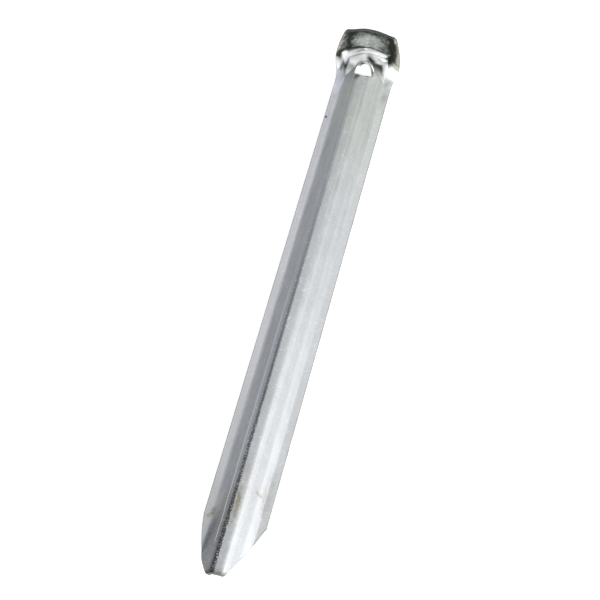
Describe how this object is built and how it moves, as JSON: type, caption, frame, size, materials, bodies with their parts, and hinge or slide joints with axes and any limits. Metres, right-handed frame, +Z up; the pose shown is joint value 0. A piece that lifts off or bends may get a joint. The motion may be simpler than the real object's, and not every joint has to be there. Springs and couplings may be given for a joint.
{
  "type": "tent stake",
  "caption": "Pressed sheet-steel tent stake with a ridged hat section, a sheared point, a punched eyelet and a cupped head folded forward over the ridge.",
  "frame": {"origin": "under the middle of the stake, on the surface that its two flanges lie on", "axes": "+Z up from the flanges towards the ridge, and the way the head is folded; +Y along the stake from the point to the head; +X across the stake"},
  "size_m": [0.0328, 0.3, 0.027],
  "materials": {
    "galvanised_steel": "galvanised sheet, dull grey, scratched, brown stains near the point"
  },
  "bodies": {
    "root": {"stake": "galvanised_steel"}
  },
  "joints": []
}
